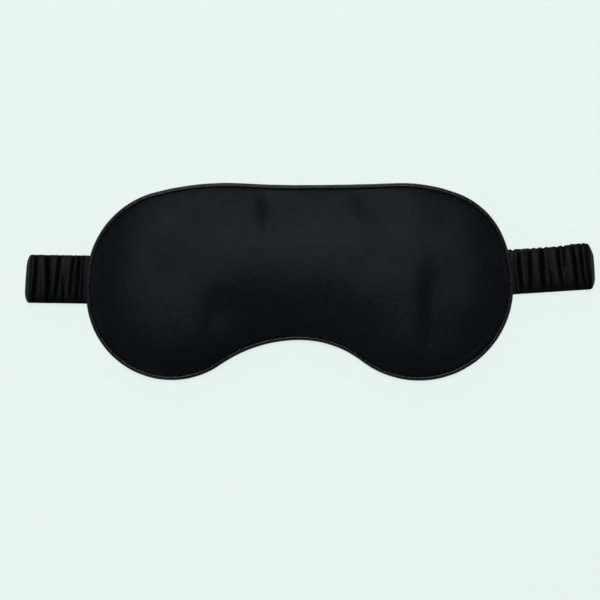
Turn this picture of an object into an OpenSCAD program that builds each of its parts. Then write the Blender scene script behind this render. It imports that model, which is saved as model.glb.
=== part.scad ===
// Sleep eye mask: padded satin mask with piped edge and a gathered elastic strap loop.
// Units are millimetres. The mask lies flat, front face up (+Z), top edge towards +Y.
// The origin is on the nose line, on the underside of the strap that passes behind the mask.

/* [Mask outline] */
// Height of the top edge above the strap line, at the nose line
top_y = 47.9; // [40:0.1:60]
// Right top dip: radius and sweep
right_dip = [1175.5, 2.3]; // [1:0.1:2000]
// Right brow arc: radius and sweep
right_brow = [78.9, 23.4]; // [1:0.1:200]
// Right temple arc: radius and sweep
right_temple = [39.1, 45.6]; // [1:0.1:200]
// Right cheek arc: radius and sweep
right_cheek = [63.2, 22.6]; // [1:0.1:200]
// Right lower lobe arc: radius and sweep
right_lobe = [46.6, 128.139]; // [1:0.1:200]
// Left top dip: radius and sweep
left_dip = [443.5, 3.5]; // [1:0.1:2000]
// Left brow arc: radius and sweep
left_brow = [139.8, 18.5]; // [1:0.1:200]
// Left temple arc: radius and sweep
left_temple = [45.1, 67.8]; // [1:0.1:200]
// Left cheek arc: radius and sweep
left_cheek = [78.8, 11.5]; // [1:0.1:200]
// Left lower lobe arc: radius and sweep
left_lobe = [42.2, 120.428]; // [1:0.1:200]

/* [Mask layers] */
// Height of the piped edge above the table
edge_z = 5; // [3:0.1:8]
// Height of the front crown above the table
crown_top_z = 11.8; // [8:0.1:20]
// Height of the back face above the table
crown_bottom_z = 3.4; // [3.2:0.1:6]
// Thickness of each satin panel
panel_t = 0.35; // [0.2:0.05:1]
// Thickness of the blackout lining
lining_t = 0.35; // [0.2:0.05:1]
// Gap between neighbouring layers at the crown
layer_gap = 0.1; // [0.05:0.05:0.5]
// Half of the gap between the two wings at the nose line
nose_gap = 0.06; // [0.02:0.01:0.5]

/* [Piping] */
// Outside diameter of the piping cover
piping_d = 2; // [1:0.1:5]
// Wall of the piping cover
piping_wall = 0.35; // [0.2:0.05:1]
// Diameter of the cord inside the piping
cord_d = 1.1; // [0.5:0.1:3]
// Diameter of the seam thread beside the piping
thread_d = 0.4; // [0.2:0.1:1]

/* [Strap] */
// Width of the strap on the left side and behind the mask
strap_w = 23.4; // [15:0.1:40]
// Width of the strap on the right side
right_strap_w = 22.6; // [15:0.1:40]
// Thickness of one gathered strap layer
strap_t = 3; // [1.5:0.1:5]
// Wall of the gathered satin cover
cover_wall = 0.35; // [0.2:0.05:1]
// Width of the flat elastic inside the cover
elastic_w = 20; // [10:0.5:35]
// Thickness of the flat elastic
elastic_t = 1.1; // [0.5:0.1:3]
// Gap between the two folded strap layers
fold_gap = 0.2; // [0.1:0.05:1]
// Where the left strap line crosses the nose line
left_strap_y = -0.1; // [-10:0.1:10]
// Upward tilt of the left side of the strap
left_tilt = 0.8; // [0:0.05:10]
// Distance from the nose line to the left fold tip
left_tip_x = 135.45; // [110:0.05:180]
// Distance from the nose line to the left seam
left_seam_x = 105.6; // [90:0.1:130]
// Distance from the nose line to the left lift line
left_lift_x = 45; // [20:1:90]
// Right seam point, where the strap line meets the mask edge
right_seam = [105.9, 4.8]; // [-150:0.1:150]
// Upward tilt of the right side of the strap
right_tilt = 3.65; // [0:0.05:10]
// Length of the right tab from the seam point to the fold tip
right_tab = 40; // [20:0.5:70]
// Distance from the right seam point back to the right lift line
right_lift = 33.97; // [10:0.01:80]
// Length of the solid end of the cover at a fold
fold_end = 6.4; // [6.2:0.1:10]

/* [Colours] */
// Satin of the panels and the strap cover
satin_colour = [0.05, 0.055, 0.06]; // [0:0.01:1]
// Padding
padding_colour = [0.55, 0.55, 0.55]; // [0:0.01:1]
// Blackout lining, cord and elastic
inner_colour = [0.12, 0.12, 0.13]; // [0:0.01:1]
// Seam thread
thread_colour = [0.25, 0.26, 0.27]; // [0:0.01:1]

/* [Hidden] */
$fn = 32;
right_arcs = [right_dip, right_brow, right_temple, right_cheek, right_lobe];
left_arcs = [left_dip, left_brow, left_temple, left_cheek, left_lobe];
// Segments along each outline arc, the last one being the nose arch
arc_steps = [1, 4, 5, 3, 9, 6];
// Segments along each outline arc of the piping
run_steps = [2, 5, 8, 4, 16, 8];
// Rows from the nose line out to the edge
rows = [0, 0.35, 0.62, 0.82, 0.94, 1];
// Share of the nose line fed by each outline arc
spine_share = [0, 0.15, 0.16, 0.11, 0.31, 0.27];
spine_margin = 22;
panel_inset = 2.7;
lining_inset = 3.3;
padding_inset = 3.9;
thread_inset = piping_d + 0.3;
low_z = strap_t / 2;
high_z = strap_t * 1.5 + fold_gap;
fold_z = strap_t + fold_gap / 2;
joint_gap = 0.2;
seam_clearance = 0.15;
back_reach = 84.5;
left_split_x = left_lift_x + 35;
left_tab_split_x = left_seam_x + 14.9;
right_seam_end = -0.35;
right_split = -1;
right_tab_split = 20;
middle_end = 19.5;

// Side of the outline an arc bends to: the first arc dips, the others bulge
function bend(i) = i == 0 ? 1 : -1;
function arc_r(arcs, i, inset) = arcs[i][0] + bend(i) * inset;

// Start of arc i as [x, y, heading]
function arc_start(arcs, i, inset) =
    i == 0
        ? [0, top_y - inset, 0]
        : let(
            p = arc_start(arcs, i - 1, inset),
            r = arc_r(arcs, i - 1, inset),
            s = bend(i - 1),
            h = p[2] + s * arcs[i - 1][1]
        )
        [
            p[0] - s * r * sin(p[2]) + s * r * sin(h),
            p[1] + s * r * cos(p[2]) - s * r * cos(h),
            h
        ];

// Point at share q of arc i as [x, y, heading], the nose arch being arc 5
function outline_point(arcs, i, q, inset) =
    let(p = arc_start(arcs, i, inset))
    i == 5
        ? let(
            r = p[0] / sin(p[2]),
            h = p[2] + q * (-180 - p[2])
        )
        [r * sin(h), p[1] + r * cos(p[2]) - r * cos(h), h]
        : let(
            r = arc_r(arcs, i, inset),
            s = bend(i),
            h = p[2] + s * q * arcs[i][1]
        )
        [
            p[0] - s * r * sin(p[2]) + s * r * sin(h),
            p[1] + s * r * cos(p[2]) - s * r * cos(h),
            h
        ];

function sum_to(list, n, i = 0) = i >= n ? 0 : list[i] + sum_to(list, n, i + 1);

// Whole half outline from the top of the nose line round to its bottom
function outline(arcs, inset, steps) = concat(
    [for (i = [0:5], k = [0:steps[i] - 1]) outline_point(arcs, i, k / steps[i], inset)],
    [[0, outline_point(arcs, 5, 1, inset)[1], -180]]
);

// Where each outline point is fed from on the nose line, 0 at the top and 1 at the bottom
feed = concat(
    [
        for (i = [0:5], k = [0:arc_steps[i] - 1])
            sum_to(spine_share, i) + spine_share[i] * k / arc_steps[i]
    ],
    [1]
);

function crown(v) = pow(max(0, 1 - pow(v, 2.2)), 0.55);

// One cushion-shaped layer between an upper and a lower surface
module layer(arcs, inset, top_edge, top_crown, bottom_edge, bottom_crown) {
    edge = [for (p = outline(arcs, inset, arc_steps)) [p[0], p[1]]];
    nu = len(edge) - 1;
    nv = len(rows) - 1;
    spine_top = edge[0][1] - spine_margin;
    spine_bottom = edge[nu][1] + spine_margin;
    row_len = nv + 1;
    half = (nu + 1) * row_len;
    flat = [
        for (i = [0:nu], j = [0:nv])
            let(s = [0, spine_top + feed[i] * (spine_bottom - spine_top)])
            s + rows[j] * (edge[i] - s)
    ];
    points = concat(
        [
            for (i = [0:nu], j = [0:nv])
                let(p = flat[i * row_len + j])
                [p[0], p[1], top_edge + crown(rows[j]) * (top_crown - top_edge)]
        ],
        [
            for (i = [0:nu], j = [0:nv])
                let(p = flat[i * row_len + j])
                [p[0], p[1], bottom_edge + crown(rows[j]) * (bottom_crown - bottom_edge)]
        ]
    );
    top_faces = [
        for (i = [0:nu - 1], j = [0:nv - 1], t = [0:1])
            let(a = i * row_len + j)
            t == 0
                ? [a, a + 1, a + row_len + 1]
                : [a, a + row_len + 1, a + row_len]
    ];
    bottom_faces = [for (f = top_faces) [f[2] + half, f[1] + half, f[0] + half]];
    rim = concat(
        [for (j = [0:nv]) j],
        [for (i = [1:nu]) i * row_len + nv],
        [for (j = [1:nv]) nu * row_len + nv - j],
        [for (i = [1:nu - 1]) (nu - i) * row_len]
    );
    rim_faces = [
        for (k = [0:len(rim) - 1], t = [0:1])
            let(
                a = rim[k],
                b = rim[(k + 1) % len(rim)]
            )
            t == 0
                ? [b, a, a + half]
                : [b, a + half, b + half]
    ];
    translate([nose_gap, 0, 0])
    polyhedron(points = points, faces = concat(top_faces, bottom_faces, rim_faces));
}

// Round cord (bore 0) or tube that follows the half outline, its section drawn with n sides
module edge_run(arcs, inset, d, bore, n) {
    path = outline(arcs, inset, run_steps);
    last = len(path) - 1;
    outer = (last + 1) * n;
    function section(p, r) = [
        for (j = [0:n - 1])
            let(a = 360 * (j + 0.5) / n)
            [p[0] + r * cos(a) * sin(p[2]), p[1] - r * cos(a) * cos(p[2]), edge_z + r * sin(a)]
    ];
    function skin(from, out) = [
        for (i = [0:last - 1], j = [0:n - 1], t = [0:1])
            let(
                a = from + i * n + j,
                b = from + i * n + (j + 1) % n,
                f = t == 0 ? [a, a + n, b + n] : [a, b + n, b]
            )
            out ? f : [f[2], f[1], f[0]]
    ];
    function cap(from, out) = [
        for (j = [1:n - 2])
            out ? [from, from + j, from + j + 1] : [from, from + j + 1, from + j]
    ];
    function ring_cap(from, out) = [
        for (j = [0:n - 1], t = [0:1])
            let(
                a = from + j,
                b = from + (j + 1) % n,
                f = t == 0 ? [a, b, b + outer] : [a, b + outer, a + outer]
            )
            out ? f : [f[2], f[1], f[0]]
    ];
    outside = [for (p = path, q = section(p, d / 2)) q];
    inside = [for (p = path, q = section(p, bore / 2)) q];
    translate([nose_gap, 0, 0])
    if (bore > 0)
        polyhedron(
            points = concat(outside, inside),
            faces = concat(skin(0, true), skin(outer, false), ring_cap(0, true), ring_cap(last * n, false))
        );
    else
        polyhedron(
            points = outside,
            faces = concat(skin(0, true), cap(0, true), cap(last * n, false))
        );
}

module front_panel(arcs) {
    layer(arcs, panel_inset, edge_z + 0.1 + panel_t, crown_top_z, edge_z + 0.1, crown_top_z - panel_t);
}

module lining(arcs) {
    top = crown_top_z - panel_t - layer_gap;
    layer(arcs, lining_inset, edge_z + 0.06, top, edge_z, top - lining_t);
}

module padding(arcs) {
    top = crown_top_z - panel_t - lining_t - 2 * layer_gap;
    bottom = crown_bottom_z + panel_t + layer_gap;
    layer(arcs, padding_inset, edge_z - 0.04, top, edge_z - 0.1, bottom);
}

module back_panel(arcs) {
    top = crown_bottom_z + panel_t;
    layer(arcs, panel_inset, edge_z - 0.14, top, edge_z - 0.14 - panel_t, crown_bottom_z);
}

module left_front_panel() {
    color(satin_colour)
    mirror([1, 0, 0])
    front_panel(left_arcs);
}

module left_lining() {
    color(inner_colour)
    mirror([1, 0, 0])
    lining(left_arcs);
}

module left_padding() {
    color(padding_colour)
    mirror([1, 0, 0])
    padding(left_arcs);
}

module left_back_panel() {
    color(satin_colour)
    mirror([1, 0, 0])
    back_panel(left_arcs);
}

module left_piping_cover() {
    color(satin_colour)
    mirror([1, 0, 0])
    edge_run(left_arcs, piping_d / 2, piping_d, piping_d - 2 * piping_wall, 10);
}

module left_piping_cord() {
    color(inner_colour)
    mirror([1, 0, 0])
    edge_run(left_arcs, piping_d / 2, cord_d, 0, 8);
}

module left_seam_thread() {
    color(thread_colour)
    mirror([1, 0, 0])
    edge_run(left_arcs, thread_inset, thread_d, 0, 6);
}

module right_front_panel() {
    color(satin_colour)
    front_panel(right_arcs);
}

module right_lining() {
    color(inner_colour)
    lining(right_arcs);
}

module right_padding() {
    color(padding_colour)
    padding(right_arcs);
}

module right_back_panel() {
    color(satin_colour)
    back_panel(right_arcs);
}

module right_piping_cover() {
    color(satin_colour)
    edge_run(right_arcs, piping_d / 2, piping_d, piping_d - 2 * piping_wall, 10);
}

module right_piping_cord() {
    color(inner_colour)
    edge_run(right_arcs, piping_d / 2, cord_d, 0, 8);
}

module right_seam_thread() {
    color(thread_colour)
    edge_run(right_arcs, thread_inset, thread_d, 0, 6);
}

// Flat section with round edges, w wide and t thick
module flat_section(w, t) {
    square([w - t, t], center = true);
    translate([(w - t) / 2, 0])
    circle(d = t, $fn = 16);
    translate([(t - w) / 2, 0])
    circle(d = t, $fn = 16);
}

// Length of strap section from a to b along X at height z, standing on its line
module along(a, b, z) {
    translate([a, 0, z])
    rotate([90, 0, 90])
    linear_extrude(height = b - a)
    children();
}

// Gathered cover: a flat tube from a to b
module cover(a, b, z, w) {
    along(a, b, z)
    difference() {
        flat_section(w, strap_t);
        flat_section(w - 2 * cover_wall, strap_t - 2 * cover_wall);
    }
}

// Flat elastic from a to b
module elastic(a, b, z) {
    along(a, b, z)
    square([elastic_w, elastic_t], center = true);
}

// Cover end at a fold: closed, with its outer corners rounded.
// The tip is at b, and side is 1 for the upper layer or -1 for the lower one.
module fold_tip(b, w, side, upper_r, lower_r) {
    z = side > 0 ? fold_gap / 2 : -fold_gap / 2 - strap_t;
    r = strap_t + fold_gap / 2;
    translate([0, 0, fold_z])
    intersection() {
        translate([0, 0, z])
        linear_extrude(height = strap_t)
        tip_plan(b, w, upper_r, lower_r);
        union() {
            translate([b - r, 0, 0])
            rotate([90, 0, 0])
            cylinder(r = r, h = w + 2, center = true, $fn = 48);
            translate([b - fold_end, -w / 2 - 1, -r])
            cube([fold_end - r, w + 2, 2 * r]);
        }
    }
}

module tip_plan(b, w, upper_r, lower_r) {
    big = max(upper_r, lower_r);
    translate([b - fold_end, -w / 2])
    square([fold_end - big, w]);
    translate([b - fold_end, lower_r - w / 2])
    square([fold_end, w - upper_r - lower_r]);
    translate([b - upper_r, w / 2 - upper_r])
    circle(r = upper_r, $fn = 32);
    translate([b - lower_r, lower_r - w / 2])
    circle(r = lower_r, $fn = 32);
    translate([b - fold_end, -w / 2])
    square([fold_end - lower_r, w / 2]);
    translate([b - fold_end, 0])
    square([fold_end - upper_r, w / 2]);
}

// The mask's plan with a little clearance, which the strap ends are cut against
module mask_plan(arcs) {
    translate([nose_gap, 0, 0])
    linear_extrude(height = 10)
    polygon([for (p = outline(arcs, -seam_clearance, run_steps)) [p[0], p[1]]]);
}

// Left side of the strap: distances grow away from the nose line
module left_side() {
    translate([0, left_strap_y, 0])
    rotate([0, 0, -left_tilt])
    mirror([1, 0, 0])
    children();
}

// Right side of the strap: distances start at the right seam point
module right_side() {
    translate([right_seam[0], right_seam[1], 0])
    rotate([0, 0, right_tilt])
    children();
}

module cover_back_left() {
    color(satin_colour)
    left_side()
    cover(-1, left_lift_x - joint_gap, low_z, strap_w);
}

module elastic_back_left() {
    color(inner_colour)
    left_side()
    elastic(-0.9, left_lift_x - joint_gap, low_z);
}

module cover_back_middle() {
    color(satin_colour)
    left_side()
    cover(-middle_end, -1.3, low_z, strap_w);
}

module elastic_back_middle() {
    color(inner_colour)
    left_side()
    elastic(-middle_end, -1.3, low_z);
}

module cover_back_right() {
    color(satin_colour)
    right_side()
    cover(-back_reach, -right_lift - joint_gap, low_z, right_strap_w);
}

module elastic_back_right() {
    color(inner_colour)
    right_side()
    elastic(-back_reach, -right_lift - joint_gap, low_z);
}

module cover_left_run() {
    color(satin_colour)
    left_side()
    cover(left_lift_x + joint_gap, left_split_x, low_z, strap_w);
}

module elastic_left_run() {
    color(inner_colour)
    left_side()
    elastic(left_lift_x + joint_gap, left_lift_x + 20, low_z);
}

module cover_left_fold() {
    color(satin_colour)
    left_side() {
        cover(left_split_x + joint_gap, left_tip_x - fold_end, low_z, strap_w);
        fold_tip(left_tip_x, strap_w, -1, 2, 2);
    }
}

module elastic_left_fold() {
    color(inner_colour)
    left_side()
    elastic(left_lift_x + 20 + joint_gap, left_tip_x - fold_end - joint_gap, low_z);
}

module cover_left_tab_outer() {
    color(satin_colour)
    left_side() {
        cover(left_tab_split_x + joint_gap, left_tip_x - fold_end, high_z, strap_w);
        fold_tip(left_tip_x, strap_w, 1, 2, 2);
    }
}

module elastic_left_tab_outer() {
    color(inner_colour)
    left_side()
    elastic(left_seam_x + 2.2, left_tip_x - fold_end - joint_gap, high_z);
}

module cover_left_tab_inner() {
    color(satin_colour)
    difference() {
        left_side()
        cover(left_seam_x - 5, left_tab_split_x, high_z, strap_w);
        mirror([1, 0, 0])
        mask_plan(left_arcs);
    }
}

module elastic_left_tab_inner() {
    color(inner_colour)
    left_side()
    elastic(left_seam_x, left_seam_x + 2, high_z);
}

module cover_right_run() {
    color(satin_colour)
    right_side()
    cover(joint_gap - right_lift, right_split, low_z, right_strap_w);
}

module elastic_right_run() {
    color(inner_colour)
    right_side()
    elastic(joint_gap - right_lift, -20, low_z);
}

module cover_right_fold() {
    color(satin_colour)
    right_side() {
        cover(right_split + joint_gap, right_tab - fold_end, low_z, right_strap_w);
        fold_tip(right_tab, right_strap_w, -1, 5, 3);
    }
}

module elastic_right_fold() {
    color(inner_colour)
    right_side()
    elastic(joint_gap - 20, right_tab - fold_end - joint_gap, low_z);
}

module cover_right_tab_outer() {
    color(satin_colour)
    right_side() {
        cover(right_tab_split + joint_gap, right_tab - fold_end, high_z, right_strap_w);
        fold_tip(right_tab, right_strap_w, 1, 5, 3);
    }
}

module elastic_right_tab_outer() {
    color(inner_colour)
    right_side()
    elastic(6, right_tab - fold_end - joint_gap, high_z);
}

module cover_right_tab_inner() {
    color(satin_colour)
    difference() {
        right_side()
        cover(-5, right_tab_split, high_z, right_strap_w);
        mask_plan(right_arcs);
    }
}

module elastic_right_tab_inner() {
    color(inner_colour)
    right_side()
    elastic(right_seam_end, 5.8, high_z);
}

left_front_panel();
left_lining();
left_padding();
left_back_panel();
left_piping_cover();
left_piping_cord();
left_seam_thread();
right_front_panel();
right_lining();
right_padding();
right_back_panel();
right_piping_cover();
right_piping_cord();
right_seam_thread();
cover_back_left();
cover_back_middle();
cover_back_right();
cover_left_run();
cover_left_fold();
cover_left_tab_outer();
cover_left_tab_inner();
cover_right_run();
cover_right_fold();
cover_right_tab_outer();
cover_right_tab_inner();
elastic_back_left();
elastic_back_middle();
elastic_back_right();
elastic_left_run();
elastic_left_fold();
elastic_left_tab_outer();
elastic_left_tab_inner();
elastic_right_run();
elastic_right_fold();
elastic_right_tab_outer();
elastic_right_tab_inner();
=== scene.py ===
"""Sleep eye mask: padded satin mask with a piped edge and a gathered elastic strap loop.

Lengths in this file are millimetres until a mesh is made, which turns them into metres.
Only the stage is in metres: the floor, the lights and the camera.
"""

import math

import bpy
import numpy as np
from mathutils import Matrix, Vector
from mathutils.geometry import delaunay_2d_cdt


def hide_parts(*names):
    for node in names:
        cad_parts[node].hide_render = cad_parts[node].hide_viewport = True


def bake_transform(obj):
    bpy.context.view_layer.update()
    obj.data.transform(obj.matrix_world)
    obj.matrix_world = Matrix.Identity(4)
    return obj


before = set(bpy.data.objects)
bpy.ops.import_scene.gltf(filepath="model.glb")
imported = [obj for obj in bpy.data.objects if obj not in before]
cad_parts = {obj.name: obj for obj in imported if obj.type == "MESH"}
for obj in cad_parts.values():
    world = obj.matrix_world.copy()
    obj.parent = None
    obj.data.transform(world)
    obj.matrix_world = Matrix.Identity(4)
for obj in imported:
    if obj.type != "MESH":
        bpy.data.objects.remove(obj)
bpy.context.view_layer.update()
MM = 0.001

# ---------------------------------------------------------------- mask outline
TOP_Y = 47.9
# Radius and sweep of each arc from the top of the nose line outwards; the nose arch closes it
RIGHT_ARCS = ((1175.5, 2.3), (78.9, 23.4), (39.1, 45.6), (63.2, 22.6), (46.6, 128.139))
LEFT_ARCS = ((443.5, 3.5), (139.8, 18.5), (45.1, 67.8), (78.8, 11.5), (42.2, 120.428))
ARC_STEP = 0.2  # between the points that draw the arcs
EDGE_Z = 5.0  # height of the seam and of the piping's middle


def half_outline(arcs, inset):
    """Close-set points of one half outline, from the top of the nose line to its bottom.
    The first arc bends left and the others right. h is the direction of travel."""
    points = []
    x, y, h = 0.0, TOP_Y - inset, 0.0
    for i, (radius, sweep) in enumerate(arcs):
        s = 1 if i == 0 else -1
        r = radius + s * inset
        n = max(2, round(r * math.radians(sweep) / ARC_STEP))
        cx, cy = x - s * r * math.sin(h), y + s * r * math.cos(h)
        for k in range(n + 1):
            a = h + s * math.radians(sweep) * k / n
            points.append((cx + s * r * math.sin(a), cy - s * r * math.cos(a)))
        h += s * math.radians(sweep)
        x, y = points.pop()
    # The nose arch ends level on the nose line
    r = x / math.sin(h)
    turn = -math.pi - h
    n = max(2, round(r * turn / ARC_STEP))
    for k in range(n + 1):
        a = h + turn * k / n
        points.append((r * math.sin(a), y + r * math.cos(h) - r * math.cos(a)))
    return np.array(points)


def outline(inset, spacing):
    """Closed loop of evenly spaced points, clockwise from the top of the nose line."""
    right = half_outline(RIGHT_ARCS, inset)
    left = half_outline(LEFT_ARCS, inset)[::-1] * (-1, 1)
    loop = np.vstack([right, left[1:]])
    run = np.concatenate([[0], np.cumsum(np.linalg.norm(np.diff(loop, axis=0), axis=1))])
    n = round(run[-1] / spacing)
    at = np.arange(n) / n * run[-1]
    return np.column_stack([np.interp(at, run, loop[:, i]) for i in (0, 1)])


def smoothstep(x, a, b):
    """0 up to a, 1 from b, and a soft rise between."""
    t = np.clip((x - a) / (b - a), 0, 1)
    return t * t * (3 - 2 * t)


def noise(x, y, seed, octaves=2):
    """Smooth noise of about -1 to 1 from a few seeded waves."""
    rng = np.random.RandomState(seed)
    total = np.zeros_like(np.asarray(x, float))
    for octave in range(octaves):
        for _ in range(5):
            angle, phase = rng.uniform(0, math.tau, 2)
            k = 2**octave * rng.uniform(0.7, 1.3)
            total += np.sin(k * (x * math.cos(angle) + y * math.sin(angle)) + phase) / (
                2.6 * 1.8**octave
            )
    return total


# ---------------------------------------------------------------- materials
def material(name, colour, roughness, specular, build, sheen=0.0, tint=(1, 1, 1)):
    """Cloth material. build adds its pattern, and tint colours its shine and its sheen."""
    mat = bpy.data.materials.new(name)
    mat.use_nodes = True
    tree = mat.node_tree
    shader = tree.nodes["Principled BSDF"]
    shader.inputs["Base Color"].default_value = (*colour, 1)
    shader.inputs["Roughness"].default_value = roughness
    shader.inputs["Specular IOR Level"].default_value = specular
    shader.inputs["Sheen Weight"].default_value = sheen
    shader.inputs["Sheen Roughness"].default_value = 0.45
    shader.inputs["Sheen Tint"].default_value = (*tint, 1)
    shader.inputs["Specular Tint"].default_value = (*tint, 1)
    mat.diffuse_color = (*colour, 1)
    build(tree, shader, colour)
    return mat


def node(tree, kind, inputs=None, **settings):
    """New shader node. An input takes a plain value, or another node's output."""
    made = tree.nodes.new(kind)
    for key, value in settings.items():
        setattr(made, key, value)
    for key, value in (inputs or {}).items():
        if isinstance(value, bpy.types.NodeSocket):
            tree.links.new(value, made.inputs[key])
        else:
            made.inputs[key].default_value = value
    return made


def cloth_place(tree, scale=(1, 1, 1)):
    """Place on the cloth in millimetres, which stays with the cloth when it bends."""
    where = node(tree, "ShaderNodeAttribute", attribute_name="cloth_mm")
    return node(
        tree, "ShaderNodeMapping", {"Vector": where.outputs["Vector"], "Scale": scale}
    ).outputs["Vector"]


def maths(tree, operation, a, b=0.5, c=0.5):
    return node(tree, "ShaderNodeMath", {0: a, 1: b, 2: c}, operation=operation).outputs[0]


def add_bump(tree, shader, height, strength, distance, below=None):
    """Bump in metres on the shader, on top of the bump below. Returns the bumped normal."""
    inputs = {"Height": height, "Strength": strength, "Distance": distance}
    if below:
        inputs["Normal"] = below
    made = node(tree, "ShaderNodeBump", inputs)
    tree.links.new(made.outputs["Normal"], shader.inputs["Normal"])
    return made.outputs["Normal"]


def tinted(tree, shader, colour, factor, low, high):
    """Colour from low to high times the plain one as factor goes from 0 to 1."""
    mix = node(
        tree,
        "ShaderNodeMix",
        {
            0: factor,
            6: (*[c * low for c in colour], 1),
            7: (*[c * high for c in colour], 1),
        },
        data_type="RGBA",
    )
    tree.links.new(mix.outputs[2], shader.inputs["Base Color"])


def satin_nodes(threads, slub, low, high, rough):
    """Satin: long floats along the first cloth direction, a fine binding step across it.
    threads is the weave's scale, slub the depth of the floats, low and high the range of tone."""

    def build(tree, shader, colour):
        place = cloth_place(tree)
        long_noise = node(
            tree,
            "ShaderNodeTexNoise",
            {"Vector": cloth_place(tree, (0.22, 2.4, 1)), "Scale": 1.0, "Detail": 3.0},
        ).outputs["Fac"]
        broad = node(
            tree, "ShaderNodeTexNoise", {"Vector": place, "Scale": 0.045, "Detail": 2.0}
        ).outputs["Fac"]
        yarn = node(
            tree,
            "ShaderNodeTexWave",
            {"Vector": place, "Scale": threads, "Distortion": 0.6, "Detail": 1.0},
            bands_direction="Y",
        ).outputs["Fac"]
        step = node(
            tree,
            "ShaderNodeTexWave",
            {"Vector": place, "Scale": threads * 0.31, "Distortion": 1.2, "Detail": 1.0},
            bands_direction="DIAGONAL",
        ).outputs["Fac"]
        weave = maths(tree, "MULTIPLY_ADD", yarn, 0.7, maths(tree, "MULTIPLY", step, 0.3))
        tone = maths(
            tree, "MULTIPLY_ADD", long_noise, 0.6, maths(tree, "MULTIPLY", broad, 0.5)
        )
        tinted(tree, shader, colour, tone, low, high)
        tree.links.new(
            maths(tree, "MULTIPLY_ADD", long_noise, 0.14, rough - 0.07),
            shader.inputs["Roughness"],
        )
        # Less shine between the floats, and painted shade down in the gathers: their shine is dimmed
        # where the cloth folds in
        painted_light_share = node(tree, "ShaderNodeAttribute", attribute_name="painted_light_share").outputs["Fac"]
        shine = maths(tree, "MULTIPLY_ADD", tone, 2 * (high - low), low + 0.1)
        level = shader.inputs["Specular IOR Level"].default_value
        tree.links.new(
            maths(tree, "MULTIPLY", shine, maths(tree, "MULTIPLY", painted_light_share, level)),
            shader.inputs["Specular IOR Level"],
        )
        first = add_bump(tree, shader, weave, 0.35, 0.00006)
        add_bump(tree, shader, long_noise, 0.4, slub, first)

    return build


def fibre_nodes(scale, depth):
    """Tangled padding fibre."""

    def build(tree, shader, colour):
        fluff = node(
            tree,
            "ShaderNodeTexNoise",
            {"Vector": cloth_place(tree), "Scale": scale, "Detail": 8.0, "Distortion": 1.5},
        ).outputs["Fac"]
        tinted(tree, shader, colour, fluff, 0.7, 1.35)
        add_bump(tree, shader, fluff, 0.8, depth)

    return build


def weave_nodes(scale, depth, low):
    """Plain weave of crossing threads."""

    def build(tree, shader, colour):
        place = cloth_place(tree)
        waves = [
            node(
                tree, "ShaderNodeTexWave", {"Vector": place, "Scale": s}, bands_direction=d
            ).outputs["Fac"]
            for s, d in ((scale, "X"), (scale * 1.1, "Y"))
        ]
        weave = maths(tree, "MAXIMUM", *waves)
        tinted(tree, shader, colour, weave, low, 1.15)
        add_bump(tree, shader, weave, 0.6, depth)

    return build


def twist_nodes(scale, depth):
    """Strands twisted round a cord or a thread."""

    def build(tree, shader, colour):
        twist = node(
            tree,
            "ShaderNodeTexWave",
            {"Vector": cloth_place(tree), "Scale": scale, "Distortion": 0.4},
            bands_direction="DIAGONAL",
        ).outputs["Fac"]
        tinted(tree, shader, colour, twist, 0.6, 1.25)
        add_bump(tree, shader, twist, 0.7, depth)

    return build


# By slot name: colour, roughness, shine, pattern, sheen and tint
MATS = {
    "satin": material(
        "satin", (0.0048, 0.0060, 0.0078), 0.42, 0.115,
        satin_nodes(1.1, 0.00012, 0.62, 1.38, 0.42), 0.05, (0.74, 0.87, 1.0),
    ),
    "piping_satin": material(
        "piping_satin", (0.004, 0.0045, 0.005), 0.28, 0.3,
        satin_nodes(1.3, 0.00005, 0.85, 1.15, 0.27), 0.03, (0.88, 0.95, 1.0),
    ),
    "gathered_satin": material(
        "gathered_satin", (0.0026, 0.0027, 0.0033), 0.38, 0.12,
        satin_nodes(1.1, 0.0001, 0.8, 1.2, 0.4), 0.03, (0.9, 0.92, 1.0),
    ),
    "blackout_lining": material(
        "blackout_lining", (0.012, 0.012, 0.013), 0.85, 0.2, weave_nodes(0.9, 0.0001, 0.7)
    ),
    "padding": material("padding", (0.035, 0.035, 0.037), 0.95, 0.1, fibre_nodes(0.8, 0.0006)),
    "cord": material("cord", (0.016, 0.016, 0.017), 0.8, 0.25, twist_nodes(0.5, 0.0002)),
    "thread": material("thread", (0.02, 0.021, 0.022), 0.55, 0.4, twist_nodes(1.6, 0.00008)),
    "elastic": material(
        "elastic", (0.01, 0.01, 0.0105), 0.75, 0.25, weave_nodes(0.7, 0.0002, 0.55)
    ),
}


# ---------------------------------------------------------------- meshes
def make(name, verts, faces, slot, cloth=None, flat=(), painted_light_share=None):
    """Piece from points in millimetres. cloth is each point's place on the cloth, flat lists faces that
    aren't smooth, and the last argument gives painted shade: how far each point lies open to the light,
    which dims the shine of gathered satin."""
    mesh = bpy.data.meshes.new(name)
    mesh.from_pydata((np.asarray(verts, float) * MM).tolist(), [], faces)
    smooth = np.ones(len(mesh.polygons), bool)
    for i in flat:
        smooth[i] = False
    mesh.polygons.foreach_set("use_smooth", smooth)
    place = mesh.attributes.new("cloth_mm", "FLOAT_VECTOR", "POINT")
    place.data.foreach_set(
        "vector", np.asarray(verts if cloth is None else cloth, np.float32).ravel()
    )
    share = np.ones(len(verts), np.float32) if painted_light_share is None else painted_light_share
    mesh.attributes.new("painted_light_share", "FLOAT", "POINT").data.foreach_set(
        "value", np.asarray(share, np.float32)
    )
    mesh.materials.append(MATS[slot])
    mesh.update()
    obj = bpy.data.objects.new(name, mesh)
    bpy.context.scene.collection.objects.link(obj)
    return obj


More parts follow.
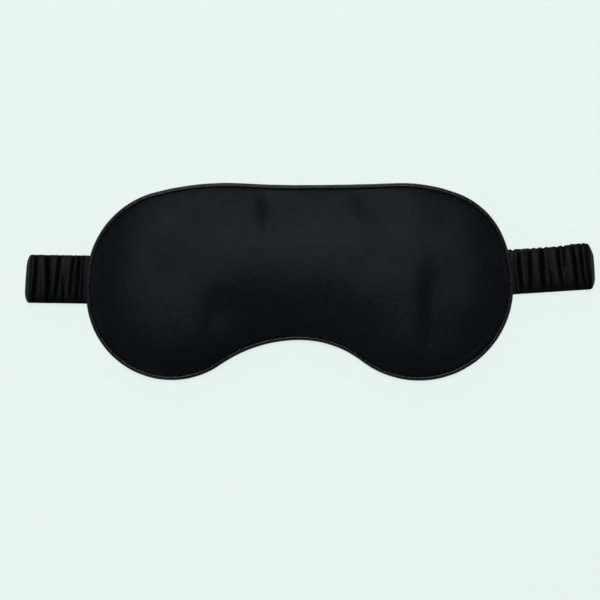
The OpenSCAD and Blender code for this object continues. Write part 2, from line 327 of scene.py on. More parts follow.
def ring_faces(rings, n, first=0, closed=False, flip=False):
    """Quads between rings of n points each; closed joins the last ring to the first."""
    faces = []
    for i in range(rings if closed else rings - 1):
        a0, b0 = first + i * n, first + (i + 1) % rings * n
        for j in range(n):
            k = (j + 1) % n
            f = (a0 + j, a0 + k, b0 + k, b0 + j)
            faces.append(f[::-1] if flip else f)
    return faces


def normals_of(verts, faces):
    """Point normals of a mesh, weighted by face area. Quads count by their diagonals."""
    v = np.asarray(verts, float)
    f = np.asarray(faces)
    cross = np.cross(v[f[:, 2]] - v[f[:, 0]], v[f[:, -1]] - v[f[:, 1]])
    total = np.zeros_like(v)
    for i in range(f.shape[1]):
        np.add.at(total, f[:, i], cross)
    return total / np.maximum(np.linalg.norm(total, axis=1), 1e-12)[:, None]


def rim_of(faces):
    """Edges used by one face only, in that face's direction."""
    seen = set()
    for f in faces:
        for a, b in zip(f, (*f[1:], f[0])):
            seen.add((a, b))
    return [e for e in seen if e[::-1] not in seen]


def shell(verts, faces, thickness):
    """The sheet as a closed shell that lies on the back of its faces."""
    v = np.asarray(verts, float)
    back = v - normals_of(v, faces) * thickness
    n = len(v)
    out = [tuple(f) for f in faces] + [tuple(i + n for i in f[::-1]) for f in faces]
    out += [(b, a, a + n, b + n) for a, b in rim_of(faces)]
    return np.vstack([v, back]), out


# ---------------------------------------------------------------- padded mask
PANEL_INSET = 1.7  # from the outer edge of the piping to the seam
GRID = 2.2  # between the points of the panels
MEASURE_STEP = 1.5  # between the outline's points when the distance to the seam is measured
CROWN_Z = 11.8
STRAP_TOP_Z = 3.1
PANEL_T, LINING_T = 0.35, 0.35
FRONT_REACH, BACK_REACH = 36, 24  # from the seam to where each panel stops rising
BELLY_Z = 0.9  # lowest part of the back panel before the cloth simulation
LOWEST_Z = 0.35  # and after it
CLOTH_SCALE = 0.01  # of the cloth simulation, ten times real size
MOST_MOVED = 5.0  # cap on how far the simulation may move a point
LINING_DEPTH = 1.35  # from the outside of the front panel to the lining
PADDING_DEPTH = 0.5  # from the outside of the lining to the padding
PADDING_LIFT = 1.1  # from the outside of the back panel to the padding
LINING_MARGIN = 0.7  # from the seam to the edge of the lining
THINNEST_PADDING = 0.4
DENT_MARGIN = 4  # from the seam to where the dents reach their full depth


def pad_plan(inset, spacing):
    """Flat triangulated plan inside the outline: (points, triangles, number of rim points)."""
    rim = outline(inset, spacing)
    second = outline(inset + spacing * 0.8, spacing)
    fence = outline(inset + spacing * 1.5, spacing)
    row = spacing * math.sqrt(3) / 2
    xs = np.arange(-112, 112, spacing)
    ys = np.arange(-52, 52, row)
    grid = np.array([(x + spacing / 2 * (j % 2), y) for j, y in enumerate(ys) for x in xs])
    grid = grid[inside(grid, fence)]
    points = np.vstack([rim, second, grid])
    n = len(rim)
    edges = [(i, (i + 1) % n) for i in range(n)]
    out = delaunay_2d_cdt([Vector(p) for p in points], edges, [], 1, 1e-6)
    flat = np.array([tuple(p) for p in out[0]])
    tris = np.array([f for f in out[2] if len(f) == 3])
    a, b, c = (flat[tris[:, i]] for i in range(3))
    turn = (b[:, 0] - a[:, 0]) * (c[:, 1] - a[:, 1]) - (b[:, 1] - a[:, 1]) * (c[:, 0] - a[:, 0])
    tris[turn < 0] = tris[turn < 0][:, ::-1]
    return flat, tris, n


def inside(points, loop):
    """Which points lie within a closed loop."""
    x, y = points[:, 0], points[:, 1]
    hit = np.zeros(len(points), bool)
    for (ax, ay), (bx, by) in zip(loop, np.roll(loop, -1, axis=0)):
        crosses = (ay > y) != (by > y)
        with np.errstate(divide="ignore", invalid="ignore"):
            at = ax + (y - ay) / (by - ay) * (bx - ax)
        hit ^= crosses & (x < at)
    return hit


def to_edge(points, loop):
    """Distance from each point to a closed loop, and how far round the loop that is."""
    best = np.full(len(points), 1e9)
    where = np.zeros(len(points))
    nxt = np.roll(loop, -1, axis=0)
    run = np.concatenate([[0], np.cumsum(np.linalg.norm(nxt - loop, axis=1))])
    for i, (a, b) in enumerate(zip(loop, nxt)):
        ab = b - a
        t = np.clip((points - a) @ ab / (ab @ ab), 0, 1)
        dist = np.linalg.norm(points - a - t[:, None] * ab, axis=1)
        nearer = dist < best
        best[nearer] = dist[nearer]
        where[nearer] = run[i] + t[nearer] * (run[i + 1] - run[i])
    return best, where, run[-1]


def swell(dist, reach):
    """Cushion profile from 0 at the seam to 1 at reach from it."""
    t = np.clip(dist / reach, 0, 1)
    return (1 - (1 - t) ** 2.3) ** 0.62


def over_strap(points):
    """1 where the strap passes behind the mask, 0 well away from it. The strap's middle falls
    a little towards the nose from the left, and rises again to the right."""
    middle = -0.1 - 0.014 * points[:, 0] + np.where(points[:, 0] > 0, 0.062 * points[:, 0], 0)
    return 1 - smoothstep(np.abs(points[:, 1] - middle), 12.5, 21)


def start_height(flat, front):
    """Height of the panels before the cloth simulation, a little less than the finished ones."""
    dist, _, _ = to_edge(flat, outline(PANEL_INSET, MEASURE_STEP))
    if front:
        return EDGE_Z + (CROWN_Z - 1.0 - EDGE_Z) * swell(dist, FRONT_REACH)
    floor = BELLY_Z + (STRAP_TOP_Z + 0.5 - BELLY_Z) * over_strap(flat)
    return EDGE_Z - (EDGE_Z - floor) * swell(dist, BACK_REACH)


def inflate(verts, tris, pinned, frames=22):
    """Cloth simulation of the closed pad, pinned along its seam and swollen by pressure.
    It runs ten times as large, where the solver's own units suit the cloth."""
    mesh = bpy.data.meshes.new("pad_cloth")
    mesh.from_pydata((verts * CLOTH_SCALE).tolist(), [], tris.tolist())
    obj = bpy.data.objects.new("pad_cloth", mesh)
    bpy.context.scene.collection.objects.link(obj)
    group = obj.vertex_groups.new(name="seam")
    group.add([int(i) for i in pinned], 1.0, "REPLACE")
    cloth = obj.modifiers.new("Cloth", "CLOTH")
    settings = cloth.settings
    settings.quality = 5
    settings.mass = 0.15
    settings.tension_stiffness = settings.compression_stiffness = 18
    settings.shear_stiffness = 6
    settings.bending_stiffness = 3
    settings.use_pressure = True
    settings.uniform_pressure_force = 1.4
    settings.vertex_group_mass = "seam"
    settings.effector_weights.gravity = 0
    cloth.collision_settings.use_self_collision = False
    cloth.point_cache.frame_end = frames
    scene = bpy.context.scene
    for number in range(1, frames + 1):
        scene.frame_set(number)
    final = obj.evaluated_get(bpy.context.evaluated_depsgraph_get())
    co = np.zeros(len(verts) * 3)
    final.data.vertices.foreach_get("co", co)
    scene.frame_set(1)
    bpy.data.objects.remove(obj)
    return co.reshape(-1, 3) / CLOTH_SCALE


def subdivided(verts, faces):
    """The mesh after one round of subdivision, as (points, quads)."""
    mesh = bpy.data.meshes.new("subdivide")
    mesh.from_pydata((verts * MM).tolist(), [], [tuple(f) for f in faces])
    obj = bpy.data.objects.new("subdivide", mesh)
    bpy.context.scene.collection.objects.link(obj)
    mod = obj.modifiers.new("Subdivision", "SUBSURF")
    mod.levels = mod.render_levels = 1
    mod.boundary_smooth = "PRESERVE_CORNERS"
    final = obj.evaluated_get(bpy.context.evaluated_depsgraph_get()).data
    co = np.zeros(len(final.vertices) * 3)
    final.vertices.foreach_get("co", co)
    quads = [tuple(p.vertices) for p in final.polygons]
    bpy.data.objects.remove(obj)
    return co.reshape(-1, 3) / MM, np.array(quads)


def evened(change, faces, fixed, rounds=8):
    """The movement averaged with its neighbours, which leaves the broad swelling and the
    softer folds. The first fixed points don't move."""
    pairs = np.vstack([faces[:, [0, 1]], faces[:, [1, 2]], faces[:, [2, 0]]])
    a, b = np.unique(np.vstack([pairs, pairs[:, ::-1]]), axis=0).T
    number = np.bincount(a, minlength=len(change))
    for _ in range(rounds):
        total = [np.bincount(a, change[b, k], minlength=len(change)) for k in range(3)]
        change = 0.5 * change + 0.5 * np.column_stack(total) / number[:, None]
        change[:fixed] = 0
    return change


flat, tris, rim_count = pad_plan(PANEL_INSET, GRID)
count = len(flat)
front = np.column_stack([flat, start_height(flat, True)])
back = np.column_stack([flat, start_height(flat, False)])
# The back sheet shares the front's seam points
back_index = np.concatenate([np.arange(rim_count), np.arange(count, 2 * count - rim_count)])
pad_verts = np.vstack([front, back[rim_count:]])
pad_tris = np.vstack([tris, back_index[tris][:, ::-1]])
moved = inflate(pad_verts, pad_tris, np.arange(rim_count))
change = moved - pad_verts
far = np.linalg.norm(change, axis=1)
change *= np.minimum(1, MOST_MOVED / np.maximum(far, 1e-9))[:, None]
pad_verts = pad_verts + evened(change, pad_tris, rim_count)
front = pad_verts[:count].copy()
back = pad_verts[back_index].copy()
rise = np.maximum(front[:, 2] - EDGE_Z, 0)
front[:, 2] = EDGE_Z + rise * (CROWN_Z - EDGE_Z) / max(rise.max(), 1)
floor_z = LOWEST_Z + (STRAP_TOP_Z + 0.2 - LOWEST_Z) * over_strap(back[:, :2])
back[:, 2] = np.clip(np.maximum(back[:, 2], floor_z), LOWEST_Z, EDGE_Z)


def dents(points):
    """Depth of the soft upright dents in the front, each steep on its left and gentle on its
    right. A dent is its centre, half width, half length, lean and depth."""
    x, y = points.T
    total = np.zeros(len(points))
    for cx, cy, wide, tall, lean, depth in (
        (-14, 36, 6.0, 13, 0.04, 1.25),
        (33, 38, 6.0, 9, -0.25, 0.8),
        (42, 31, 5.0, 10, -0.35, 0.3),
        (-41, -15, 6.0, 11, 0.1, 1.1),
        (66, -11, 6.6, 20, 0.05, 1.5),
        (8, -12, 6.0, 10, -0.1, 0.35),
        (-70, 8, 6.0, 14, -0.2, 0.4),
        (76, -27, 13, 13, 0, 1.0),
    ):
        u = (x - cx - lean * (y - cy)) / wide
        u = np.where(u < 0, u, u / 2.6)
        w = (y - cy) / tall
        total += depth * np.exp(-u * u - w * w)
    return total


def finished_panel(sheet, faces, is_front):
    """Subdivides a panel, then adds seam puckers, soft dents and a slight ripple.
    The steep edge is drawn again at the finer points, so only the movement is interpolated."""
    start = np.column_stack([flat, start_height(flat, is_front)])
    verts, quads = subdivided(start, faces)
    change, _ = subdivided(sheet - start, faces)
    verts[:, 2] = start_height(verts[:, :2], is_front)
    verts += change
    xy = verts[:, :2]
    dist, run, length = to_edge(xy, outline(PANEL_INSET, MEASURE_STEP))
    angle = run / length * math.tau
    pucker = np.sin(angle * 97 + 2.2 * np.sin(angle * 13)) * np.exp(-dist / 3.2)
    pucker += 0.6 * np.sin(angle * 61 + 1.7 * np.sin(angle * 9 + 1)) * np.exp(-dist / 6)
    rise = smoothstep(dist, 0.2, 2.5)
    lift = (0.05 if is_front else 0.2) * pucker * rise
    if is_front:
        lift -= dents(xy) * smoothstep(dist, 0, DENT_MARGIN)
    lift += 0.10 * noise(xy[:, 0] / 7, xy[:, 1] / 9, 11 if is_front else 12) * rise
    lift += 0.16 * noise(xy[:, 0] / 16, xy[:, 1] / 16, 21 if is_front else 22) * rise
    verts[:, 2] += lift if is_front else -lift
    if not is_front:
        low = 0.2 + (STRAP_TOP_Z + 0.12 - 0.2) * over_strap(xy)
        verts[:, 2] = np.maximum(verts[:, 2], low)
    return verts, quads


def across_nose(obj):
    """Bakes the piece's place into its points."""
    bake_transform(obj)


def both(name):
    """The piece's CAD nodes, one in each wing."""
    return [f"left_{name}", f"right_{name}"]


for name, sheet, faces, is_front in (
    ("front_panel", front, tris, True),
    ("back_panel", back, tris[:, ::-1], False),
):
    verts, quads = finished_panel(sheet, faces, is_front)
    verts, faces = shell(verts, quads, PANEL_T)
    panel = make(name, verts, faces, "satin")
    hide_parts(*both(name))
    across_nose(panel)

# Lining under the front panel, then the padding between the lining and the back panel
from_seam = to_edge(flat, outline(PANEL_INSET, MEASURE_STEP))[0]
inner = np.array([f for f in tris if (from_seam[f] > LINING_MARGIN).all()])
used = np.unique(inner)
index = np.full(count, -1)
index[used] = np.arange(len(used))
inner = index[inner]
front_in = front[used] - normals_of(front, tris)[used] * LINING_DEPTH
front_in[:, 2] -= dents(flat[used]) * smoothstep(from_seam[used], 0, DENT_MARGIN)
back_in = back[used] + normals_of(back, tris)[used] * PADDING_LIFT
verts, faces = shell(front_in, inner, LINING_T)
lining = make("blackout_lining", verts, faces, "blackout_lining")
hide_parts(*both("lining"))
across_nose(lining)

top = front_in - normals_of(front_in, inner) * PADDING_DEPTH
top[:, 2] += 0.12 * noise(top[:, 0] / 1.6, top[:, 1] / 1.6, 31)
bottom = back_in.copy()
bottom[:, 2] += 0.12 * noise(bottom[:, 0] / 1.6, bottom[:, 1] / 1.6, 32)
thin = top[:, 2] - bottom[:, 2] < THINNEST_PADDING
middle = (top[:, 2] + bottom[:, 2]) / 2
top[thin, 2] = middle[thin] + THINNEST_PADDING / 2
bottom[thin, 2] = middle[thin] - THINNEST_PADDING / 2
n = len(top)
faces = [tuple(f) for f in inner] + [tuple(i + n for i in f[::-1]) for f in inner]
faces += [(b, a, a + n, b + n) for a, b in rim_of([tuple(f) for f in inner])]
padding = make("padding", np.vstack([top, bottom]), faces, "padding")
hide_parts(*both("padding"))
across_nose(padding)


# ---------------------------------------------------------------- piping and seam
PIPING_INSET, THREAD_INSET = 1.0, 2.3  # from the outer edge of the piping to the middle of each
PIPING_WALL = 0.35


def along_edge(inset, spacing, radius, sides, height, wall=0.0, lean=0.0):
    """Closed tube round the outline. radius is a function of the run and the angle round the
    tube, height one of the run. wall makes the tube hollow, and lean pulls its top inwards,
    where its flange is sewn in."""
    loop = outline(inset, spacing)
    rings = len(loop)
    nxt, prv = np.roll(loop, -1, axis=0), np.roll(loop, 1, axis=0)
    tangent = nxt - prv
    tangent /= np.linalg.norm(tangent, axis=1)[:, None]
    outward = np.column_stack([-tangent[:, 1], tangent[:, 0]])
    run = np.arange(rings) / rings * math.tau
    length = np.linalg.norm(nxt - loop, axis=1).sum()
    angle = np.arange(sides) / sides * math.tau
    s, a = np.meshgrid(run, angle, indexing="ij")

    def surface(shrink):
        r = radius(s, a) - shrink
        off = r * (np.cos(a) - lean * np.sin(a))
        x = loop[:, 0][:, None] + off * outward[:, 0][:, None]
        y = loop[:, 1][:, None] + off * outward[:, 1][:, None]
        z = EDGE_Z + height(s) + r * np.sin(a)
        return np.stack([x, y, z], axis=-1).reshape(-1, 3)

    verts = surface(0)
    faces = ring_faces(rings, sides, closed=True)
    cloth = np.stack([s / math.tau * length, a * radius(s, a), 0 * a], axis=-1).reshape(-1, 3)
    if wall:
        faces += ring_faces(rings, sides, first=len(verts), closed=True, flip=True)
        verts = np.vstack([verts, surface(wall)])
        cloth = np.vstack([cloth, cloth])
    return verts, faces, cloth


def sway(s):
    """Slight rise and fall of the piped edge."""
    return 0.12 * np.sin(5 * s + 1) + 0.08 * np.sin(11 * s)


def piping_radius(s, a):
    crease = 0.035 * np.sin(173 * s + 1.5 * a + 2 * np.sin(17 * s))
    return 1.0 + crease * np.sin(29 * s + 1) + 0.02 * np.sin(41 * s)


def cord_radius(s, a):
    return 0.55 + 0.045 * np.cos(3 * a + 260 * s)


def thread_radius(s, a):
    return 0.2 + 0.02 * np.cos(2 * a + 400 * s)


def stitch_rise(s):
    """Lock stitch: the thread dips through the layers at each needle hole."""
    return sway(s) + 0.34 * np.tanh(2.5 * np.sin(240 * s))


for name, slot, shape in (
    (
        "piping_cover",
        "piping_satin",
        along_edge(PIPING_INSET, 0.7, piping_radius, 20, sway, PIPING_WALL, 0.3),
    ),
    ("piping_cord", "cord", along_edge(PIPING_INSET, 0.5, cord_radius, 14, sway)),
    ("seam_thread", "thread", along_edge(THREAD_INSET, 0.3, thread_radius, 7, stitch_rise)),
):
    ring = make(name, *shape[:2], slot, shape[2])
    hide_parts(*both(name))
    across_nose(ring)


# ---------------------------------------------------------------- strap
LAYER = 1.5  # half thickness of one strap layer, and the height of the lower layer's middle
FOLD_Z = 3.1  # height of the fold's axis
TURN_R = FOLD_Z - LAYER
TURN = math.pi * TURN_R  # length of the fold along the strap's middle
WRAP = 0.64  # half thickness of the cover where it lies on the elastic
ELASTIC_HALF_WIDTH = 10.0
LEANING = 7  # length of strap before the fold that leans and stands out with it
PATTERN_SHIFT = 60  # on the cloth, between the patterns of the strap's two faces


class Side:
    """One side of the strap. Its line starts at origin and runs outwards; distances d are
    along it. m is the distance along the strap itself: out along the lower layer, round the
    fold and back."""

    def __init__(
        self, origin, direction, half_width, tip, seam,
        corners, bumps, flare, slant, stand_out, join,
    ):
        self.origin = np.array(origin)
        self.along = np.array(direction)
        across = np.array([-direction[1], direction[0]])
        self.across = across if across[1] > 0 else -across
        self.half_width = half_width  # to the upper and to the lower edge
        self.tip = tip
        self.turn_d = tip - FOLD_Z
        self.seam = seam
        self.corners = corners  # plan radius of the tip's upper and lower corner
        self.bumps = bumps  # how far gathers show at the upper and lower edge
        self.flare = flare  # how much the tab's upper edge rises from the seam to the fold
        self.slant = slant  # how far the fold leans back from its lower to its upper corner
        self.stand_out = stand_out  # how far the gathered fold stands past the plain one
        self.join = join  # extra half width where this side joins the other behind the mask
        self.valleys = []

    def upper(self, d):
        """m of the point at d on the upper layer."""
        return 2 * self.turn_d + TURN - d

    def at(self, d, z=0.0):
        """Point in the row frame, in metres."""
        p = self.origin + d * self.along
        return (p[0] * MM, p[1] * MM, z * MM)

    def path(self, m):
        """Middle of the strap and its outward direction at m."""
        a = np.clip((m - self.turn_d) / TURN_R, 0, math.pi)
        turned = np.maximum(m - self.turn_d - TURN, 0)
        d = np.minimum(m, self.turn_d) + TURN_R * np.sin(a) - turned
        z = FOLD_Z - TURN_R * np.cos(a)
        return d, z, np.sin(a), -np.cos(a)


def gather(c, slant, curve, wide, depth, middle=0.0, reach=1.25):
    """One gather: where it crosses the strap, how it slants and curves, its width and depth,
    and the middle and half length of its run across the strap."""
    return (c, slant, curve, wide, depth, middle, reach)


def random_gathers(start, stop, seed):
    """Gathers of the lengths that lie hidden, some with a short one beside them."""
    rng = np.random.RandomState(seed)
    made = []
    c = start + 1.5
    while c < stop:
        slant, curve = rng.uniform(-1.1, 1.1), rng.uniform(-0.7, 0.7)
        wide, depth = rng.uniform(0.55, 0.95), rng.uniform(0.65, 1.0)
        middle, reach = rng.uniform(-0.3, 0.3), rng.uniform(0.95, 1.4)
        made.append(gather(c, slant, curve, wide, depth, middle, reach))
        if rng.uniform() < 0.35:
            side = rng.choice([-1, 1])
            made.append(gather(c + 1.9, -slant, curve, 0.5, 0.6, 0.8 * side, 0.75))
        c += rng.uniform(2.7, 4.6)
    return made


def ruffle(m, v, valleys):
    """Height of the gathers: about 0 in a valley and 1 on a ridge. v runs from -1 to 1 across
    the strap."""
    m, v = np.broadcast_arrays(np.asarray(m, float), np.asarray(v, float))
    height = np.ones(m.shape)
    for c, slant, curve, wide, depth, middle, reach in valleys:
        u = (m - c - slant * v - curve * v * v) / wide
        near = np.abs(u) < 6
        if not near.any():
            continue
        lens = np.sqrt(np.clip(1 - ((v - middle) / reach) ** 2, 0, 1))
        height = height + lens * depth * (
            0.3 * np.exp(-(((np.abs(u) - 1.9) / 0.8) ** 2)) - np.exp(-u * u)
        )
    return np.clip(height, 0, 1.35)


def seam_taper(side, m, d):
    """1 along the strap, falling where the upper layer goes under the piping."""
    on_top = m > side.turn_d + TURN
    return np.where(on_top, smoothstep(d, side.seam - 0.6, side.seam + 4.5), 1.0)


def stations(side, m0, m1, spacing):
    """Places along the strap, closer together round the fold."""
    a, b = side.turn_d, side.turn_d + TURN
    parts = []
    for lo, hi, step in (
        (m0, min(m1, a), spacing),
        (max(m0, a), min(m1, b), TURN / 26),
        (max(m0, b), m1, spacing),
    ):
        if hi > lo + 1e-6:
            parts.append(np.linspace(lo, hi, max(2, round((hi - lo) / step) + 1)))
    return np.unique(np.round(np.concatenate(parts), 6))


def corner_cut(side, m):
    """How much the fold's rounded corners narrow the strap, at its upper and at its lower edge."""
    d, _, nd, _ = side.path(m)
    reach = d + nd * LAYER
    cuts = []
    for r in side.corners:
        over = np.clip(reach - (side.tip - r), 0, r)
        cuts.append(r - np.sqrt(r * r - over * over))
    return cuts


def leaning_tip(side, d, y):
    """Moves the last stretch before the fold so that the fold leans and stands out a little."""
    reach = side.tip - LEANING
    limit = side.tip + side.stand_out - side.slant * (y + side.half_width[1])
    share = np.clip((d - reach) / (side.tip - reach), 0, 1)
    return np.where(d > reach, reach + share * (limit - reach), d)


def strap_mesh(side, m0, m1, spacing, across, outer, inner, half_width):
    """Closed flat tube along the strap, as (points, faces, details for make). outer and inner
    give the half thickness on each face, half_width the reach on each edge."""
    m = stations(side, m0, m1, spacing)
    d0, z0, nd, nz = side.path(m)
    s = np.linspace(-1, 1, across)
    v = np.sin(s * math.pi / 2)
    mm, vv = np.meshgrid(m, v, indexing="ij")
    taper = seam_taper(side, m, d0)[:, None]
    d0, z0, nd, nz = (np.repeat(x[:, None], across, axis=1) for x in (d0, z0, nd, nz))
    z0 = z0 - 0.45 * (1 - taper)
    wide = [edge - cut for edge, cut in zip(half_width(m), corner_cut(side, m))]
    y = np.where(vv > 0, vv * wide[0][:, None], vv * wide[1][:, None])
    sheets = []
    for sign, depth in ((1, outer(mm, vv, taper)), (-1, inner(mm, vv, taper))):
        d = leaning_tip(side, d0 + sign * nd * depth, y)
        z = z0 + sign * nz * depth
        xy = side.origin + d[..., None] * side.along + y[..., None] * side.across
        sheets.append(np.concatenate([xy, z[..., None]], axis=-1))
    ring = np.concatenate([sheets[0], sheets[1][:, -2:0:-1]], axis=1)
    # Painted shade: the cover's shine fades from its ridges down into the gathers
    share = smoothstep(ruffle(mm, vv, side.valleys), 0.25, 1.0)
    share = np.concatenate([share, share[:, -2:0:-1]], axis=1)
    cloth_y = np.concatenate([y, PATTERN_SHIFT - y[:, -2:0:-1]], axis=1)
    cloth_m = np.repeat(m[:, None], ring.shape[1], axis=1)
    cloth = np.stack([cloth_m, cloth_y, 0 * cloth_m], axis=-1)
    rings, n = ring.shape[:2]
    flip = side.along[0] < 0
    faces = ring_faces(rings, n, flip=flip)
    first, last = tuple(range(n)), tuple(range((rings - 1) * n, rings * n))
    details = {
        "cloth": cloth.reshape(-1, 3),
        "flat": (len(faces), len(faces) + 1),
        "painted_light_share": share.ravel(),
    }
    faces += [first if flip else first[::-1], last[::-1] if flip else last]
    return ring.reshape(-1, 3), faces, details


def edge_shape(v):
    """Rounds the strap's edges off: 1 across most of the width, 0 at the edge."""
    return np.sqrt(np.clip(1 - np.abs(v) ** 4, 0, 1))


def cover_shape(side):
    """Thickness and width of the gathered cover. Its turn is pressed to a blunt wedge, and thinner
    than the layers on its inner face, so that it opens without a thick web."""

    def bevel(mm):
        return 0.5 * np.sin(2 * np.clip((mm - side.turn_d) / TURN_R, 0, math.pi)) ** 2

    def web(mm):
        return 0.82 * np.sin(np.clip((mm - side.turn_d) / TURN_R, 0, math.pi)) ** 2

    def ridge(mm, vv):
        fine = 0.07 * noise(mm / 1.1, vv * 2, 41, 1)
        made = ruffle(mm, vv, side.valleys) + fine
        taut = np.exp(-(((mm - side.turn_d - TURN / 2) / 3.2) ** 2))
        return made + (1.1 - made) * taut

    def outer(mm, vv, taper):
        on_top = smoothstep(mm, side.turn_d, side.turn_d + TURN)
        most = LAYER + 0.3 * on_top
        full = WRAP + (most - WRAP) * ridge(mm, vv) / 1.1
        return (np.minimum(full, most) - bevel(mm)) * edge_shape(vv) * (0.3 + 0.7 * taper)

    def inner(mm, vv, taper):
        full = WRAP + (LAYER - WRAP) * ridge(mm, vv) * 0.9
        full = np.minimum(full, LAYER - 0.02 - web(mm))
        return full * edge_shape(vv) * (0.35 + 0.65 * taper)

    def half_width(m):
        reach = []
        tab = np.clip((m - side.turn_d - TURN) / (side.tip - side.seam), 0, 1)
        for sign, bump, plain in zip((1, -1), side.bumps, side.half_width):
            wave = ruffle(m, sign * 0.93, side.valleys) - 0.8
            edge = plain + bump * wave - 0.1 + side.join * (1 - smoothstep(m, -85, -45))
            if sign > 0:
                edge = edge + side.flare * (0.4 - tab) * (m > side.turn_d - 8)
            reach.append(edge)
        return reach

    return outer, inner, half_width


def elastic_shape():
    """Thickness and width of the flat band, which has lengthwise ribs."""

    def rib(mm, vv, taper):
        y = vv * ELASTIC_HALF_WIDTH
        thick = 0.5 + 0.05 * np.cos(math.tau * y / 1.25) + 0.02 * np.sin(math.tau * mm / 0.8)
        return np.minimum(thick, 0.57) * edge_shape(vv) * (0.25 + 0.75 * taper)

    def half_width(m):
        return [np.full(len(m), ELASTIC_HALF_WIDTH)] * 2

    return rib, rib, half_width


LEFT_TILT, RIGHT_TILT = math.radians(0.8), math.radians(3.65)
left = Side(
    (0, -0.1), (-math.cos(LEFT_TILT), math.sin(LEFT_TILT)), (11.8, 12.2), 135.45, 105.6,
    corners=(1.5, 1.3), bumps=(0.4, 0.15), flare=0, slant=0.05, stand_out=0.65, join=0,
)
right = Side(
    (105.9, 4.8), (math.cos(RIGHT_TILT), math.sin(RIGHT_TILT)), (11.35, 11.0), 40.0, 0.0,
    corners=(4.4, 2.3), bumps=(0.8, 0.2), flare=2.0, slant=0, stand_out=0.1, join=0.8,
)

# Gathers of the tabs beside the mask, by their distance along the left or right side's line
for side, gathers in (
    (
        left,
        (
            gather(130.6, -0.5, 0.3, 0.75, 0.95),
            gather(124.2, 0.2, 0.5, 1.15, 1.0),
            gather(119.7, -1.3, 0.3, 0.75, 0.95),
            gather(116.9, 0.6, 0.4, 0.55, 0.7, -0.7, 0.8),
            gather(112.9, -0.9, -0.3, 0.7, 0.9, 0.25, 1.15),
            gather(109.4, -0.8, 0.3, 0.85, 0.95),
            gather(107.0, -0.3, 0.2, 0.6, 0.8, -0.2, 1.1),
        ),
    ),
    (
        right,
        (
            gather(2.7, -0.4, 0.3, 1.0, 0.95),
            gather(8.2, 0.3, -0.3, 0.8, 0.95),
            gather(14.1, -0.3, 0.3, 1.1, 1.0),
            gather(18.2, 0.4, 0.3, 0.55, 0.75, -0.75, 0.75),
            gather(22.7, -0.9, 0.5, 0.75, 0.95, 0.1, 1.1),
            gather(25.2, -0.3, 0.3, 0.5, 0.7, 0.8, 0.8),
            gather(30.3, -0.6, -0.3, 0.9, 1.0),
            gather(33.8, -0.7, 0.4, 0.6, 0.9, 0.1, 1.1),
            gather(36.6, -0.5, 0.3, 0.55, 0.85),
        ),
    ),
):
    side.valleys = [
        gather(side.upper(c), -slant, -curve, *rest) for c, slant, curve, *rest in gathers
    ]
left.valleys += random_gathers(-24, left.turn_d - 1, 51)
right.valleys += random_gathers(-88, right.turn_d - 1, 52)

# Piece, side, its stretch of strap, where it turns or slides, and the bodies it joins
STRAP_PIECES = (
    ("back_left", left, -22.6, 26, 18, -18, "strap_back_left", "strap_back_middle"),
    ("left_lift", left, 26, 56.5, 35, 55, "strap_back_left", "left_run"),
    ("left_run", left, 56.5, 117, 58, 115, "left_run", "left_fold"),
    ("left_fold", left, 117, left.upper(124), None, None, "left_fold", "left_tab_outer"),
    ("left_tab", left, left.upper(124), left.upper(111), 123, 112, "left_tab_outer", "left_tab_inner"),
    ("left_seam", left, left.upper(111), left.upper(104.1), 108, 104.5, "left_tab_inner", "left_wing"),
    ("right_lift", right, -85.6, -22.8, -44, -24, "strap_back_right", "right_run"),
    ("right_run", right, -22.8, 21, -20, 18, "right_run", "right_fold"),
    ("right_fold", right, 21, right.upper(29), None, None, "right_fold", "right_tab_outer"),
    ("right_tab", right, right.upper(29), right.upper(6), 27, 8, "right_tab_outer", "right_tab_inner"),
    ("right_seam", right, right.upper(6), right.upper(-1.5), 2.6, -1.1, "right_tab_inner", "right_wing"),
)
# The elastic ends short of the cover at the side seams
ELASTIC_END = {"left_seam": left.upper(106.4), "right_seam": right.upper(0.8)}
FOLD_BAND = 0.1  # half the height of the band between the fold's two layers

for name, side, m0, m1, turn_from, turn_to, *bodies in STRAP_PIECES:
    lengths = [body.removeprefix("strap_") for body in bodies if not body.endswith("wing")]
    for kind, slot, spacing, across, shape in (
        ("cover", "gathered_satin", 0.4, 27, cover_shape(side)),
        ("elastic", "elastic", 0.6, 49, elastic_shape()),
    ):
        stop = ELASTIC_END.get(name, m1) if kind == "elastic" else m1
        verts, faces, details = strap_mesh(side, m0, stop, spacing, across, *shape)
        piece = make(f"{kind}_{name}", verts, faces, slot, **details)
        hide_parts(*[f"{kind}_{length}" for length in lengths])
        if turn_from is None:
            # Two points at the fold's tip, at the bottom and the top of the narrow band between the two
            # layers
            start = side.at(side.tip, FOLD_Z - FOLD_BAND)
            end = side.at(side.tip, FOLD_Z + FOLD_BAND)
        else:
            start, end = side.at(turn_from), side.at(turn_to)
        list(bodies)
        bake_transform(piece)
        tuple(start)
        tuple(end)

# ---------------------------------------------------------------- stage
FLOOR_COLOUR = (0.815, 0.905, 0.871)
FLOOR_REACH = 4
floor_mat = bpy.data.materials.new("pale_floor")
floor_mat.use_nodes = True
surface = floor_mat.node_tree.nodes["Principled BSDF"]
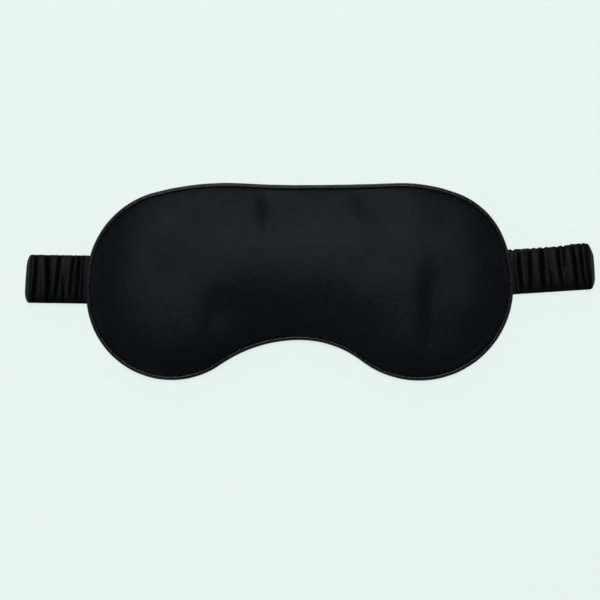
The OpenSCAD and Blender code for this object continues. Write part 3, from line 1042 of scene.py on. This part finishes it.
# Mostly its own glow, so that the lights leave no bright patches on it
surface.inputs["Base Color"].default_value = (*[c * 0.25 for c in FLOOR_COLOUR], 1)
surface.inputs["Roughness"].default_value = 1
surface.inputs["Specular IOR Level"].default_value = 0
surface.inputs["Emission Color"].default_value = (*FLOOR_COLOUR, 1)
surface.inputs["Emission Strength"].default_value = 0.9
floor_mesh = bpy.data.meshes.new("floor")
corners = [(x * FLOOR_REACH, y * FLOOR_REACH, 0) for x, y in ((-1, -1), (1, -1), (1, 1), (-1, 1))]
floor_mesh.from_pydata(corners, [], [(0, 1, 2, 3)])
floor_mesh.materials.append(floor_mat)
floor = bpy.data.objects.new("floor", floor_mesh)
bpy.context.scene.collection.objects.link(floor)


def area_light(name, place, size, power, colour=(1, 1, 1)):
    """Round soft light that points at the origin. Places and sizes are in metres."""
    light = bpy.data.lights.new(name, "AREA")
    light.shape = "DISK"
    light.size = size
    light.energy = power
    light.color = colour
    obj = bpy.data.objects.new(name, light)
    obj.location = place
    obj.rotation_mode = "QUATERNION"
    obj.rotation_quaternion = (-Vector(place)).to_track_quat("-Z", "Y")
    bpy.context.scene.collection.objects.link(obj)


area_light("softbox_top", (-0.05, 0.62, 2.13), 0.8, 13, (0.95, 0.98, 1.0))
area_light("softbox_left", (-1.7, 0.2, 0.8), 1.0, 2.2)
area_light("softbox_right", (1.7, 0.2, 0.8), 1.0, 1.7)
area_light("softbox_front", (-0.5, -1.7, 0.7), 1.0, 1.6)
area_light("softbox_back", (-0.2, 1.8, 0.7), 1.0, 4)

world = bpy.data.worlds.new("studio")
world.use_nodes = True
backdrop = world.node_tree.nodes["Background"]
backdrop.inputs["Color"].default_value = (*FLOOR_COLOUR, 1)
# The camera sees a pale backdrop past the floor, and everything else only a faint glow
sight = world.node_tree.nodes.new("ShaderNodeLightPath")
level = world.node_tree.nodes.new("ShaderNodeMapRange")
level.inputs["To Min"].default_value = 0.08
level.inputs["To Max"].default_value = 0.97
world.node_tree.links.new(sight.outputs["Is Camera Ray"], level.inputs["Value"])
world.node_tree.links.new(level.outputs["Result"], backdrop.inputs["Strength"])
bpy.context.scene.world = world
bpy.context.scene.view_settings.view_transform = "Standard"

CAMERA_HEIGHT = 1.2
VIEW_WIDTH = 0.2965  # of the picture, in metres at the height of the mask's edge
camera = bpy.data.cameras.new("camera")
camera.sensor_width = 36
camera.lens = camera.sensor_width * (CAMERA_HEIGHT - EDGE_Z * MM) / VIEW_WIDTH
camera_obj = bpy.data.objects.new("camera", camera)
camera_obj.location = (0.25 * MM, -8.9 * MM, CAMERA_HEIGHT)
bpy.context.scene.collection.objects.link(camera_obj)
bpy.context.scene.camera = camera_obj
